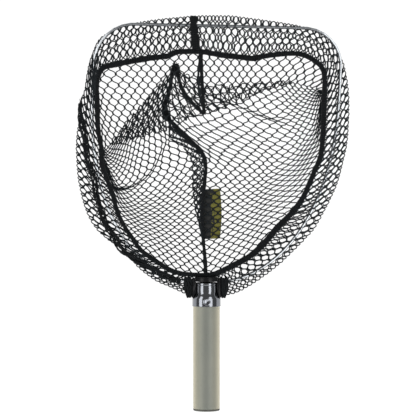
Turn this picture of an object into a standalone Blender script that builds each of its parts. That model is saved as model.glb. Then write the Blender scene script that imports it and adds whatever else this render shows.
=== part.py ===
"""Landing net: tubular handle, chromed ferrule, screw-in yoke, bent wire hoop and collapsed netting bag.

The net lies flat. +Y runs from the butt of the handle to the top of the hoop, +Z is up and +X is to the right.
Sizes are in metres. The design frame has its origin on the handle's axis, level with the lower edge of the
hoop; the last step carries the whole net to the middle of its own footprint, with its lowest point at z = 0.
"""
import math

import bmesh
import bpy
from mathutils import Matrix, Vector

# handle
HANDLE_DIAMETER = 0.0260
HANDLE_WALL = 0.0012
HANDLE_BUTT_Y = -0.1246
HANDLE_TOP_Y = -0.0165
PLUG_FLANGE = 0.0014
PLUG_STEM = 0.0120
# ferrule
NECK_DIAMETER = 0.0219
FERRULE_WALL = 0.0007
FERRULE_TOP_Y = 0.0010
FLARE_TOP_Y = -0.0078
FLARE_END_Y = -0.0157
SKIRT_END_Y = -0.0226
FERRULE_ROUND = 0.0016
FERRULE_HOLE_RADIUS = 0.0062
DIMPLE_RADIUS = 0.0029
DIMPLE_DEPTH = 0.0006
DIMPLE_Y = -0.0180
# screw joint
STUD_DIAMETER = 0.0095
STUD_LENGTH = 0.0125
INSERT_LENGTH = 0.0130
WASHER_THICKNESS = 0.0008
WASHER_RADIUS = 0.0082
# yoke
YOKE_HEIGHT = 0.0043
YOKE_FLANGE = 0.0116
YOKE_EDGE = 0.0005
YOKE_LIFT = 0.0006
LEG_PROUD = 0.0006
LEG_END_Y = -0.0140
LEG_HALF_ANGLE = 26.0
LEG_JOIN = 0.0008
LEG_SHOULDER = 0.0007
BOSS_PROUD = 0.0019
BOSS_WALL = 0.0014
BOSS_ROOT = 0.0001
STUD_COVER = 0.0009
# hoop wire
WIRE_DIAMETER = 0.0032
HOOP_HALF_WIDTH = 0.1210
HOOP_TOP_Y = 0.2520
HOOP_BOTTOM_Y = 0.0
HOOP_SHOULDER_Y = 0.1880
HOOP_CORNER = 0.0380
HOOP_FULLNESS = 2.2
SIDE_SHARE = 0.50
SHOULDER_SHARE = 0.60
CORNER_SHARE = 0.76
WIRE_INSET = 0.0009
LEAN = 0.050
DROOP = 0.023
# net collar, measured outside and inside the wire
COLLAR_OUTSIDE = 0.0110
COLLAR_OUTSIDE_TOP = 0.0100
COLLAR_OUTSIDE_BOTTOM = 0.0140
COLLAR_CORNER = 0.0550
COLLAR_FULLNESS = (2.30, 2.05)
COLLAR_WALL = 0.0008
COLLAR_ROOM = 0.0007
COLLAR_OFF_BOSS = 0.0025
COLLAR_FREE_END = 0.020
COLLAR_PART_GAP = 0.0006
TOP_SEAM_X = -0.0225
TOP_SEAM_WIDTH = 0.0086
TOP_SEAM_STANDS_PROUD = 0.0006
# bound hem
HEM_DIAMETER = 0.0054
HEM_INSIDE = (0.0082, 0.0153)
HEM_TOP_DROP = 0.0290
HEM_BOTTOM_RISE = 0.0065
HEM_CORNER = 0.0200
HEM_FULLNESS = (2.2, 2.0)
HEM_OFF_BOSS = 0.0020
# bag
BAG_THICKNESS = 0.0024
BAG_WALL_RUN = 0.0240
BAG_SEAM_X = -0.0035
BAG_SEAM_WIDTH = 0.0040
BAG_SEAM_DEPTH = 0.0030
BAG_RIM_DROP = 0.0014
BAG_RIM_END_X = 0.0060
SPINE_INSET_TOP = 0.0300
SPINE_INSET_BOTTOM = 0.0260
# rolled edge on the left of the collar
ROLL_WIDTH = 0.0066
ROLL_DEPTH = 0.0040
ROLL_PLACE = 0.62
ROLL_START = 0.235
ROLL_RUN = 0.225
ROLL_SWELL = 0.15
# gathers, label
GATHER_SWELL = 0.0016
LABEL_WIDTH = 0.0160
LABEL_LENGTH = 0.0493
LABEL_LOW_Y = 0.0427
LABEL_THICKNESS = 0.00045
LABEL_RAISE = 0.00015
# clearances
GAP = 0.0003
SOFT_GAP = 0.0005
RUN_GAP = 0.0005
WIRE_GAP = 0.0005
THREAD_GAP = 0.0003

HANDLE_RADIUS = HANDLE_DIAMETER / 2
NECK_RADIUS = NECK_DIAMETER / 2
SKIRT_RADIUS = HANDLE_RADIUS + GAP + FERRULE_WALL
LEG_OUTER_RADIUS = SKIRT_RADIUS + LEG_PROUD
BOSS_REACH = LEG_OUTER_RADIUS + BOSS_PROUD
COLLAR_END_X = BOSS_REACH + COLLAR_OFF_BOSS
HEM_END_X = BOSS_REACH + HEM_OFF_BOSS
AXIS_Z = SKIRT_RADIUS
WIRE_RADIUS = WIRE_DIAMETER / 2
HEM_RADIUS = HEM_DIAMETER / 2
COLLAR_HALF_DEPTH = WIRE_RADIUS + COLLAR_ROOM + COLLAR_WALL
YOKE_BOTTOM_Y = FERRULE_TOP_Y + YOKE_LIFT
YOKE_TOP_Y = YOKE_BOTTOM_Y + YOKE_HEIGHT
WIRE_END_X = NECK_RADIUS + RUN_GAP + WIRE_INSET


def clear_scene():
    for item in list(bpy.data.objects):
        bpy.data.objects.remove(item, do_unlink=True)


def make_material(name, colour, roughness, metallic=0.0):
    material = bpy.data.materials.new(name)
    material.use_nodes = True
    shader = material.node_tree.nodes["Principled BSDF"]
    shader.inputs["Base Color"].default_value = (*colour, 1.0)
    shader.inputs["Roughness"].default_value = roughness
    shader.inputs["Metallic"].default_value = metallic
    material.diffuse_color = (*colour, 1.0)
    return material


def add_object(name, mesh, material, parent, smooth_angle=35.0):
    mesh.materials.append(material)
    mesh.shade_smooth()
    mesh.set_sharp_from_angle(angle=math.radians(smooth_angle))
    item = bpy.data.objects.new(name, mesh)
    bpy.context.scene.collection.objects.link(item)
    item.parent = parent
    return item


def mesh_from(name, vertices, faces):
    mesh = bpy.data.meshes.new(name)
    mesh.from_pydata([tuple(v) for v in vertices], [], faces)
    body = bmesh.new()
    body.from_mesh(mesh)
    bmesh.ops.remove_doubles(body, verts=body.verts, dist=1e-7)
    bmesh.ops.recalc_face_normals(body, faces=body.faces)
    body.to_mesh(mesh)
    body.free()
    return mesh


def turned_mesh(name, profile, sides=40, first=0.0, sweep=360.0):
    """A closed (radius, y) profile turned about the handle's axis, or about part of a circle."""
    full = sweep >= 360.0
    steps = sides if full else sides + 1
    vertices = []
    for step in range(steps):
        angle = math.radians(first + sweep * step / sides)
        for radius, y in profile:
            vertices.append((radius * math.cos(angle), y, AXIS_Z + radius * math.sin(angle)))
    count = len(profile)
    faces = []
    for step in range(sides):
        here = step * count
        after = ((step + 1) % steps) * count
        for k in range(count):
            k_next = (k + 1) % count
            on_axis = profile[k][0] == 0.0 and profile[k_next][0] == 0.0
            if not on_axis:
                faces.append((here + k, here + k_next, after + k_next, after + k))
    if not full:
        faces.append(tuple(range(count)))
        faces.append(tuple(reversed(range(sides * count, (sides + 1) * count))))
    mesh = mesh_from(name, vertices, faces)
    body = bmesh.new()
    body.from_mesh(mesh)
    bmesh.ops.dissolve_degenerate(body, dist=1e-7, edges=body.edges)
    bmesh.ops.recalc_face_normals(body, faces=body.faces)
    body.to_mesh(mesh)
    body.free()
    return mesh


def cut(target, cutter, name, operation="DIFFERENCE"):
    cutter.hide_render = True
    cutter.display_type = "WIRE"
    modifier = target.modifiers.new(name, "BOOLEAN")
    modifier.operation = operation
    modifier.solver = "EXACT"
    modifier.object = cutter


def loop_point(place, half_widths, top_y, bottom_y, corner, fullness, end_x):
    """A point of a hoop-like outline. place runs from 0 at the left end, over the top, to 1 at the right end."""
    side = -1.0 if place < 0.5 else 1.0
    half_width = half_widths[0] if side < 0 else half_widths[1]
    power = fullness[0] if side < 0 else fullness[1]
    along = 1.0 - abs(place - 0.5) * 2.0
    lower = HOOP_SHOULDER_Y - bottom_y
    shoulder_run = top_y - corner - HOOP_SHOULDER_Y
    if along < SIDE_SHARE:
        last = math.acos((end_x / half_width) ** (power / 2))
        angle = last * (1.0 - along / SIDE_SHARE)
        x = half_width * math.cos(angle) ** (2 / power)
        y = HOOP_SHOULDER_Y - lower * math.sin(angle) ** (2 / power)
    elif along < SHOULDER_SHARE:
        x = half_width
        y = HOOP_SHOULDER_Y + shoulder_run * (along - SIDE_SHARE) / (SHOULDER_SHARE - SIDE_SHARE)
    elif along < CORNER_SHARE:
        turn = math.radians(90.0 * (along - SHOULDER_SHARE) / (CORNER_SHARE - SHOULDER_SHARE))
        x = half_width - corner + corner * math.cos(turn)
        y = top_y - corner + corner * math.sin(turn)
    else:
        x = (half_width - corner) * (1.0 - (along - CORNER_SHARE) / (1.0 - CORNER_SHARE))
        y = top_y
    x *= side
    y -= DROOP * x * max(0.0, y) / HOOP_TOP_Y
    return Vector((x + LEAN * y, y))


def hoop_point(place):
    return loop_point(place, (HOOP_HALF_WIDTH, HOOP_HALF_WIDTH), HOOP_TOP_Y, HOOP_BOTTOM_Y, HOOP_CORNER,
                      (HOOP_FULLNESS, HOOP_FULLNESS), WIRE_END_X)


def collar_point(place):
    half_width = HOOP_HALF_WIDTH + COLLAR_OUTSIDE
    return loop_point(place, (half_width, half_width), HOOP_TOP_Y + COLLAR_OUTSIDE_TOP,
                      HOOP_BOTTOM_Y - COLLAR_OUTSIDE_BOTTOM, COLLAR_CORNER, COLLAR_FULLNESS, COLLAR_END_X)


def hem_point(place, end_x=HEM_END_X, inset=0.0):
    half_widths = (HOOP_HALF_WIDTH - HEM_INSIDE[0] - inset, HOOP_HALF_WIDTH - HEM_INSIDE[1] - inset)
    return loop_point(place, half_widths, HOOP_TOP_Y - HEM_TOP_DROP - inset,
                      HOOP_BOTTOM_Y + HEM_BOTTOM_RISE + inset, HEM_CORNER - inset * 0.5, HEM_FULLNESS, end_x)


def sweep_mesh(name, path, sections, hollow_sections=None, headings=None):
    """Sections of (sideways, z) points swept along a level path, closed by flat ends.

    A second list of sections, inside the first, makes a sleeve that is open at both ends. Headings are the
    path's directions, worked out from its own points when they aren't given.
    """
    def rings(all_sections):
        out = []
        for k, point in enumerate(path):
            before = path[max(k - 1, 0)]
            after = path[min(k + 1, len(path) - 1)]
            along = headings[k] if headings else (after - before).normalized()
            across = Vector((-along.y, along.x))
            ring = [Vector((point.x + across.x * a, point.y + across.y * a, z)) for a, z in all_sections[k]]
            out.append(ring)
        return out

    outer = rings(sections)
    count = len(outer[0])
    vertices = [v for ring in outer for v in ring]
    faces = []
    for k in range(len(path) - 1):
        for i in range(count):
            j = (i + 1) % count
            faces.append((k * count + i, k * count + j, (k + 1) * count + j, (k + 1) * count + i))
    last = (len(path) - 1) * count
    if hollow_sections is None:
        faces.append(tuple(range(count)))
        faces.append(tuple(range(last, last + count)))
    else:
        base = len(vertices)
        vertices += [v for ring in rings(hollow_sections) for v in ring]
        for k in range(len(path) - 1):
            for i in range(count):
                j = (i + 1) % count
                a = base + k * count
                b = base + (k + 1) * count
                faces.append((a + j, a + i, b + i, b + j))
        for i in range(count):
            j = (i + 1) % count
            faces.append((i, j, base + j, base + i))
            faces.append((last + j, last + i, base + last + i, base + last + j))
    return mesh_from(name, vertices, faces)


def oval(half_width, half_depth, centre=0.0, z=AXIS_Z, sides=10, fullness=2.0):
    points = []
    for k in range(sides):
        angle = 2 * math.pi * (k + 0.5) / sides
        c, s = math.cos(angle), math.sin(angle)
        a = math.copysign(abs(c) ** (2 / fullness), c) * half_width
        b = math.copysign(abs(s) ** (2 / fullness), s) * half_depth
        points.append((centre + a, z + b))
    return points


def spaced(first, last, count):
    return [first + (last - first) * k / (count - 1) for k in range(count)]


def make_handle(materials, parent):
    inner = HANDLE_RADIUS - HANDLE_WALL
    bottom = HANDLE_BUTT_Y + PLUG_FLANGE + GAP
    tube = [(HANDLE_RADIUS, bottom), (HANDLE_RADIUS, HANDLE_TOP_Y), (inner, HANDLE_TOP_Y), (inner, bottom)]
    add_object("handle_tube", turned_mesh("handle_tube", tube, 48), materials["tube"], parent)
    stem = inner - GAP
    stem_top = bottom + PLUG_STEM
    plug = [(0.0, HANDLE_BUTT_Y), (HANDLE_RADIUS - 0.0004, HANDLE_BUTT_Y), (HANDLE_RADIUS, HANDLE_BUTT_Y + 0.0004),
            (HANDLE_RADIUS, bottom - GAP), (stem, bottom - GAP), (stem, stem_top), (0.0, stem_top)]
    add_object("handle_end_plug", turned_mesh("handle_end_plug", plug, 48), materials["plug"], parent)


def ferrule_outline(offset):
    """The ferrule's outside, moved outward by offset, from the neck's top down to the end of the skirt."""
    points = [(NECK_RADIUS + offset, FLARE_TOP_Y)]
    for k in range(1, 8):
        part = k / 8
        rise = part * part * (3 - 2 * part)
        radius = NECK_RADIUS + (SKIRT_RADIUS - NECK_RADIUS) * rise + offset
        points.append((radius, FLARE_TOP_Y + (FLARE_END_Y - FLARE_TOP_Y) * part))
    points.append((SKIRT_RADIUS + offset, FLARE_END_Y))
    return points


def make_ferrule(materials, parent):
    outside = []
    for k in range(5):
        turn = math.radians(90 * k / 4)
        outside.append((NECK_RADIUS - FERRULE_ROUND * (1 - math.sin(turn)),
                        FERRULE_TOP_Y - FERRULE_ROUND * (1 - math.cos(turn))))
    outside += ferrule_outline(0.0)
    outside.append((SKIRT_RADIUS, SKIRT_END_Y))
    under = FERRULE_TOP_Y - FERRULE_WALL
    inside = [(SKIRT_RADIUS - FERRULE_WALL, SKIRT_END_Y)]
    inside += list(reversed(ferrule_outline(-FERRULE_WALL)))
    inside += [(NECK_RADIUS - FERRULE_WALL, under - FERRULE_ROUND * 0.6),
               (NECK_RADIUS - FERRULE_WALL - FERRULE_ROUND * 0.6, under), (FERRULE_HOLE_RADIUS, under)]
    profile = [(FERRULE_HOLE_RADIUS, FERRULE_TOP_Y)] + outside + inside
    shell = add_object("ferrule", turned_mesh("ferrule", profile, 48), materials["chrome"], parent)
    ball = (DIMPLE_RADIUS ** 2 + DIMPLE_DEPTH ** 2) / (2 * DIMPLE_DEPTH)
    body = bmesh.new()
    place = Matrix.Translation((0.0, DIMPLE_Y, AXIS_Z + SKIRT_RADIUS + ball - DIMPLE_DEPTH))
    bmesh.ops.create_icosphere(body, subdivisions=4, radius=ball, matrix=place)
    mesh = bpy.data.meshes.new("dimple_cutter")
    body.to_mesh(mesh)
    body.free()
    cutter = add_object("dimple_cutter", mesh, materials["chrome"], parent)
    cut(shell, cutter, "dimple")


def make_screw(materials, handle, washer_parent, head):
    bore = STUD_DIAMETER / 2 + THREAD_GAP
    outer = NECK_RADIUS - FERRULE_WALL - GAP
    top = FERRULE_TOP_Y - FERRULE_WALL - GAP
    bottom = top - INSERT_LENGTH
    insert = [(bore, top), (outer - FERRULE_ROUND * 0.7, top), (outer, top - FERRULE_ROUND * 0.7), (outer, bottom),
              (bore, bottom)]
    add_object("threaded_insert", turned_mesh("threaded_insert", insert), materials["brass"], handle)
    low = FERRULE_TOP_Y + GAP
    high = low + WASHER_THICKNESS
    washer = [(bore, low), (WASHER_RADIUS, low), (WASHER_RADIUS, high), (bore, high)]
    add_object("lock_washer", turned_mesh("lock_washer", washer), materials["washer"], washer_parent)
    stud_top = YOKE_TOP_Y - STUD_COVER
    stud_low = YOKE_BOTTOM_Y - STUD_LENGTH
    radius = STUD_DIAMETER / 2
    chamfer = 0.0010
    stud = [(0.0, stud_low), (radius - chamfer, stud_low), (radius, stud_low + chamfer), (radius, stud_top), (0.0, stud_top)]
    add_object("head_stud", turned_mesh("head_stud", stud, 32), materials["steel"], head)


def make_yoke(materials, parent):
    pocket = WASHER_RADIUS + GAP
    recess = FERRULE_TOP_Y + GAP + WASHER_THICKNESS + GAP
    bore = STUD_DIAMETER / 2 + GAP
    blind = YOKE_TOP_Y - STUD_COVER + GAP
    disc = [(0.0, YOKE_TOP_Y), (YOKE_FLANGE - YOKE_EDGE, YOKE_TOP_Y), (YOKE_FLANGE, YOKE_TOP_Y - YOKE_EDGE),
            (YOKE_FLANGE, YOKE_BOTTOM_Y), (pocket, YOKE_BOTTOM_Y), (pocket, recess), (bore, recess), (bore, blind),
            (0.0, blind)]
    yoke = add_object("yoke", turned_mesh("yoke", disc, 48), materials["black"], parent)
    inner_edge = [point for point in ferrule_outline(RUN_GAP) if point[1] > LEG_END_Y]
    root_radius = YOKE_FLANGE - LEG_JOIN
    leg_top = YOKE_TOP_Y - LEG_SHOULDER
    leg = [(root_radius, leg_top), (LEG_OUTER_RADIUS - LEG_JOIN, leg_top), (LEG_OUTER_RADIUS, leg_top - LEG_JOIN),
           (LEG_OUTER_RADIUS, LEG_END_Y)]
    leg.append((inner_edge[-1][0], LEG_END_Y))
    leg += list(reversed(inner_edge))
    leg_under = YOKE_BOTTOM_Y + RUN_GAP
    leg += [(NECK_RADIUS + RUN_GAP, leg_under), (root_radius, leg_under)]
    hole = WIRE_RADIUS + WIRE_GAP
    for side, name in ((-1, "left"), (1, "right")):
        middle = 180.0 if side < 0 else 0.0
        mesh = turned_mesh("leg_" + name, leg, 8, middle - LEG_HALF_ANGLE, 2 * LEG_HALF_ANGLE)
        leg_body = add_object("leg_" + name, mesh, materials["black"], parent)
        cut(yoke, leg_body, "leg_" + name, "UNION")
    for side, name in ((-1, "left"), (1, "right")):
        start = hoop_point(0.0 if side < 0 else 1.0)
        mouth = next(p for p in (hoop_point(k / 2000 if side < 0 else 1 - k / 2000) for k in range(1, 900))
                     if abs(p.x) >= BOSS_REACH)
        along = (mouth - start).normalized()
        root = start - along * BOSS_ROOT
        for kind, radius, low, high in (("boss", hole + BOSS_WALL, root, mouth),
                                        ("wire_hole", hole, start - along * GAP, mouth + along * 0.002)):
            centre = (low + high) / 2
            turn = Vector((0, 0, 1)).rotation_difference(Vector((along.x, along.y, 0))).to_matrix().to_4x4()
            body = bmesh.new()
            bmesh.ops.create_cone(body, cap_ends=True, segments=20, radius1=radius, radius2=radius,
                                  depth=(high - low).length,
                                  matrix=Matrix.Translation((centre.x, centre.y, AXIS_Z)) @ turn)
            mesh = bpy.data.meshes.new(kind + "_" + name)
            body.to_mesh(mesh)
            body.free()
            tool = add_object(kind + "_" + name, mesh, materials["black"], parent)
            cut(yoke, tool, kind + "_" + name, "UNION" if kind == "boss" else "DIFFERENCE")


def make_hoop(materials, parent):
    path = [hoop_point(k / 88) for k in range(89)]
    section = oval(WIRE_RADIUS, WIRE_RADIUS, sides=10)
    mesh = sweep_mesh("hoop_wire", path, [section] * len(path))
    add_object("hoop_wire", mesh, materials["wire"], parent, 50.0)


def collar_span(place):
    """The middle of the collar at a place along the hoop, and half its width there."""
    outside = collar_point(place)
    inside = hem_point(place)
    inside = inside + (outside - inside).normalized() * (HEM_RADIUS + GAP)
    return (inside + outside) / 2, (inside - outside) / 2


def collar_piece(name, first, last, count, half_depth, material, parent):
    """A length of the collar between two places along the hoop, hollow, with the wire running through it."""
    path, outer, hollow, headings = [], [], [], []
    for place in spaced(first, last, count):
        middle, half = collar_span(place)
        low = max(place - 0.003, 0.0)
        high = min(place + 0.003, 1.0)
        heading = (collar_span(high)[0] - collar_span(low)[0]).normalized()
        half_width = abs(half.dot(Vector((-heading.y, heading.x))))
        path.append(middle)
        headings.append(heading)
        outer.append(oval(half_width, half_depth, sides=12, fullness=3.2))
        hollow.append(oval(half_width - COLLAR_WALL, WIRE_RADIUS + COLLAR_ROOM, sides=12, fullness=3.2))
    add_object(name, sweep_mesh(name, path, outer, hollow, headings), material, parent)


def place_at_x(x):
    """The place on the top bar of the hem whose x is nearest to the given one."""
    return min((0.38 + k * 0.0005 for k in range(481)), key=lambda place: abs(hoop_point(place).x - x))


def make_collar(materials, parent):
    seam_left = place_at_x(TOP_SEAM_X + LEAN * HOOP_TOP_Y - TOP_SEAM_WIDTH / 2)
    seam_right = place_at_x(TOP_SEAM_X + LEAN * HOOP_TOP_Y + TOP_SEAM_WIDTH / 2)
    step = COLLAR_PART_GAP / (2 * HOOP_HALF_WIDTH) * (1.0 - CORNER_SHARE)
    end = COLLAR_FREE_END
    collar_piece("net_sleeve_left", end, seam_left - step, 30, COLLAR_HALF_DEPTH, materials["netting"], parent)
    collar_piece("net_sleeve_right", seam_right + step, 1 - end, 30, COLLAR_HALF_DEPTH, materials["netting"], parent)
    collar_piece("seam_top", seam_left, seam_right, 4, COLLAR_HALF_DEPTH + TOP_SEAM_STANDS_PROUD,
                 materials["binding"], parent)
    gathered = COLLAR_HALF_DEPTH + GATHER_SWELL
    stop = end - COLLAR_PART_GAP / (HOOP_SHOULDER_Y - HOOP_BOTTOM_Y) * SIDE_SHARE / 2
    collar_piece("gather_left", 0.0, stop, 5, gathered, materials["netting"], parent)
    collar_piece("gather_right", 1 - stop, 1.0, 5, gathered, materials["netting"], parent)


def make_hem(materials, parent):
    path = [hem_point(k / 80) for k in range(81)]
    section = oval(HEM_RADIUS, HEM_RADIUS, sides=8)
    add_object("hem_binding", sweep_mesh("hem_binding", path, [section] * len(path)), materials["binding"], parent, 50.0)


def spine_y(part):
    high = HOOP_TOP_Y - HEM_TOP_DROP - SPINE_INSET_TOP
    low = HOOP_BOTTOM_Y + HEM_BOTTOM_RISE + SPINE_INSET_BOTTOM
    return high + (low - high) * part


def wall_height(distance):
    """Height of the bag's middle surface at a distance from its rim."""
    part = min(1.0, distance / BAG_WALL_RUN)
    floor = BAG_THICKNESS / 2
    rim = AXIS_Z - BAG_RIM_DROP
    return floor + (rim - floor) * (1 - part * part * (3 - 2 * part))


def make_bag(materials, parent):
    inset = HEM_RADIUS + SOFT_GAP
    edge = BAG_SEAM_WIDTH / 2 + SOFT_GAP
    for side, name in ((-1, "net_bag_left"), (1, "net_bag_right")):
        start = min((0.4 + k * 0.0005 for k in range(401)),
                    key=lambda place: abs(hem_point(place, BAG_RIM_END_X, inset).x - BAG_SEAM_X - side * edge))
        stop = 0.0 if side < 0 else 1.0
        rows, columns = 34, 9
        vertices, faces = [], []
        for row in range(rows + 1):
            part = row / rows
            rim = hem_point(start + (stop - start) * part, BAG_RIM_END_X, inset)
            target = Vector((BAG_SEAM_X + side * edge, spine_y(part)))
            if row in (0, rows):
                rim.x = target.x
            run = (target - rim).length
            for column in range(columns + 1):
                share = (column / columns) ** 1.5
                point = rim.lerp(target, share)
                vertices.append((point.x, point.y, wall_height(run * share)))
        wide = columns + 1
        for row in range(rows):
            for column in range(columns):
                a = row * wide + column
                faces.append((a, a + 1, a + wide + 1, a + wide))
        if side > 0:
            faces = [tuple(reversed(face)) for face in faces]
        mesh = bpy.data.meshes.new(name)
        mesh.from_pydata(vertices, [], faces)
        panel = add_object(name, mesh, materials["netting"], parent)
        thick = panel.modifiers.new("thickness", "SOLIDIFY")
        thick.thickness = BAG_THICKNESS
        thick.offset = 0.0
        thick.use_even_offset = False
        if side > 0:
            cut_label_recess(panel, materials, parent)


def cut_label_recess(panel, materials, parent):
    deep = LABEL_RAISE + LABEL_THICKNESS + GAP
    left = BAG_SEAM_X
    right = label_left() + LABEL_WIDTH + SOFT_GAP
    low = LABEL_LOW_Y - SOFT_GAP
    high = LABEL_LOW_Y + LABEL_LENGTH + SOFT_GAP
    cutter = box_object("label_cutter", (left, low, -0.002), (right, high, deep), materials["netting"], parent)
    cut(panel, cutter, "label_recess")


def label_left():
    return BAG_SEAM_X + BAG_SEAM_WIDTH / 2 + SOFT_GAP


def box_object(name, low, high, material, parent):
    body = bmesh.new()
    size = Vector(high) - Vector(low)
    centre = (Vector(high) + Vector(low)) / 2
    bmesh.ops.create_cube(body, size=1.0, matrix=Matrix.Translation(centre) @ Matrix.Diagonal((*size, 1.0)))
    mesh = bpy.data.meshes.new(name)
    body.to_mesh(mesh)
    body.free()
    return add_object(name, mesh, material, parent)


def make_label(materials, parent):
    low = (label_left(), LABEL_LOW_Y, LABEL_RAISE)
    high = (label_left() + LABEL_WIDTH, LABEL_LOW_Y + LABEL_LENGTH, LABEL_RAISE + LABEL_THICKNESS)
    box_object("label", low, high, materials["label"], parent)


def make_bag_seam(materials, parent):
    """A raised strip that follows the bag's floor and climbs both end walls to the hem."""
    inset = HEM_RADIUS + SOFT_GAP
    top = HOOP_TOP_Y - HEM_TOP_DROP - inset - DROOP * BAG_SEAM_X
    bottom = HOOP_BOTTOM_Y + HEM_BOTTOM_RISE + inset + 0.002
    half = BAG_SEAM_WIDTH / 2
    stations = []
    for part in spaced(0.0, 1.0, 11):
        y = top - BAG_WALL_RUN * part
        stations.append((y, wall_height(top - y)))
    for part in spaced(0.0, 1.0, 11):
        y = bottom + BAG_WALL_RUN * (1 - part)
        stations.append((y, wall_height(y - bottom)))
    vertices, faces = [], []
    for k, (y, z) in enumerate(stations):
        before = stations[max(k - 1, 0)]
        after = stations[min(k + 1, len(stations) - 1)]
        along = Vector((after[0] - before[0], after[1] - before[1])).normalized()
        normal = Vector((along.y, -along.x))
        under = BAG_THICKNESS / 2
        over = BAG_SEAM_DEPTH - under
        for x, reach in ((-half, -under), (half, -under), (half, over), (-half, over)):
            vertices.append((BAG_SEAM_X + x, y + normal.x * reach, z + normal.y * reach))
    for k in range(len(stations) - 1):
        a, b = 4 * k, 4 * k + 4
        for i in range(4):
            j = (i + 1) % 4
            faces.append((a + i, a + j, b + j, b + i))
    faces.append((0, 1, 2, 3))
    last = 4 * (len(stations) - 1)
    faces.append((last, last + 1, last + 2, last + 3))
    add_object("seam_bag", mesh_from("seam_bag", vertices, faces), materials["binding"], parent)


def make_roll(materials, parent):
    """The twisted edge that lies on the left of the collar, outside the wire."""
    z = AXIS_Z + COLLAR_HALF_DEPTH + GAP + ROLL_DEPTH / 2
    path, sections = [], []
    for place in spaced(0.5 - ROLL_START, 0.5 - ROLL_START - ROLL_RUN, 30):
        wire = hoop_point(place)
        edge = collar_point(place)
        path.append(wire.lerp(edge, ROLL_PLACE))
    for k in range(len(path)):
        swell = 1.0 - ROLL_SWELL + ROLL_SWELL * math.sin(k * 1.3)
        sections.append(oval(ROLL_WIDTH / 2 * swell, ROLL_DEPTH / 2, z=z, sides=8))
    add_object("side_roll", sweep_mesh("side_roll", path, sections), materials["netting"], parent)


def centre_on_footprint(root):
    """Moves the root so that the net's box is centred on x = y = 0 and stands on z = 0."""
    bpy.context.view_layer.update()
    graph = bpy.context.evaluated_depsgraph_get()
    low = Vector((1e9, 1e9, 1e9))
    high = -low
    for item in bpy.data.objects:
        if item.type == "MESH" and not item.hide_render:
            shown = item.evaluated_get(graph)
            for corner in shown.bound_box:
                point = shown.matrix_world @ Vector(corner)
                low = Vector(map(min, low, point))
                high = Vector(map(max, high, point))
    root.location = (-(low.x + high.x) / 2, -(low.y + high.y) / 2, -low.z)


def main():
    clear_scene()
    materials = {
        "tube": make_material("tube", (0.50, 0.48, 0.39), 0.35, 0.6),
        "plug": make_material("plug", (0.20, 0.20, 0.18), 0.6),
        "chrome": make_material("chrome", (0.80, 0.80, 0.80), 0.08, 1.0),
        "brass": make_material("brass", (0.75, 0.58, 0.28), 0.35, 1.0),
        "washer": make_material("washer", (0.05, 0.05, 0.05), 0.7),
        "steel": make_material("steel", (0.55, 0.55, 0.56), 0.3, 1.0),
        "black": make_material("black", (0.02, 0.02, 0.02), 0.4),
        "wire": make_material("wire", (0.70, 0.70, 0.72), 0.2, 1.0),
        "netting": make_material("netting", (0.02, 0.025, 0.03), 0.8),
        "binding": make_material("binding", (0.012, 0.012, 0.014), 0.9),
        "label": make_material("label", (0.45, 0.42, 0.08), 0.7),
    }
    root = bpy.data.objects.new("net_origin", None)
    bpy.context.scene.collection.objects.link(root)
    head = bpy.data.objects.new("head_axis", None)
    bpy.context.scene.collection.objects.link(head)
    head.parent = root
    make_handle(materials, root)
    make_ferrule(materials, root)
    make_screw(materials, root, head, head)
    make_yoke(materials, head)
    make_hoop(materials, head)
    make_collar(materials, head)
    make_hem(materials, head)
    make_bag(materials, head)
    make_bag_seam(materials, head)
    make_label(materials, head)
    make_roll(materials, head)
    centre_on_footprint(root)


main()
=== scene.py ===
# Looks of the landing net: netting, seams, label, ferrule and handle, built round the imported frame.
import math
import random

import bmesh
import bpy
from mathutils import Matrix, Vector


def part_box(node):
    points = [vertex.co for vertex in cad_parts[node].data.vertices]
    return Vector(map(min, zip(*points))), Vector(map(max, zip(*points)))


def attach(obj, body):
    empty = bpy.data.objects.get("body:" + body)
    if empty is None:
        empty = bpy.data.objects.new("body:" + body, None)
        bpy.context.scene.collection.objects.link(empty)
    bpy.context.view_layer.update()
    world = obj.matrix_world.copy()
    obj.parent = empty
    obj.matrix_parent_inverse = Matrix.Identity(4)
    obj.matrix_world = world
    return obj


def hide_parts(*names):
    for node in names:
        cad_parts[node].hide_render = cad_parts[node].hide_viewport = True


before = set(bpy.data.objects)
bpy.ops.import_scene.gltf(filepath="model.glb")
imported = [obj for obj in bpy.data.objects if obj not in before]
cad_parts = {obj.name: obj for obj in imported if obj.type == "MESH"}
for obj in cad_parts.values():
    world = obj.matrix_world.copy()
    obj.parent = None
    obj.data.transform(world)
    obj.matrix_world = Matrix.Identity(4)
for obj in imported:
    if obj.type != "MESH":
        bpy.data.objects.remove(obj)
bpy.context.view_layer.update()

# places are in millimetres from the neck of the ferrule, on the handle's axis; at() turns them into
# the shared frame
handleLow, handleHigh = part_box("handle_tube")
ferruleLow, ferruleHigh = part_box("ferrule")
axisX = (handleLow.x + handleHigh.x) / 2
axisZ = (ferruleLow.z + ferruleHigh.z) / 2
# the ferrule's rounded end stands 1 mm past its neck
neckY = ferruleHigh.y - 0.001
hoopZ = axisZ * 1000


def at(x, y, z):
    return Vector((axisX + x / 1000, neckY + y / 1000, z / 1000))


def addObject(name, data):
    item = bpy.data.objects.new(name, data)
    bpy.context.scene.collection.objects.link(item)
    return item


def throughPoints(points, count):
    # evenly spaced places on a smooth curve through the given points
    pts = [Vector(p) for p in points]
    pts = [pts[0] * 2 - pts[1]] + pts + [pts[-1] * 2 - pts[-2]]
    fine = []
    for k in range(1, len(pts) - 2):
        a, b, c, d = pts[k - 1:k + 3]
        for step in range(12):
            t = step / 12
            fine.append(0.5 * ((2 * b) + (c - a) * t + (2 * a - 5 * b + 4 * c - d) * t * t
                               + (3 * b - a - 3 * c + d) * t ** 3))
    fine.append(pts[-2])
    return evenly(fine, count)


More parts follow.
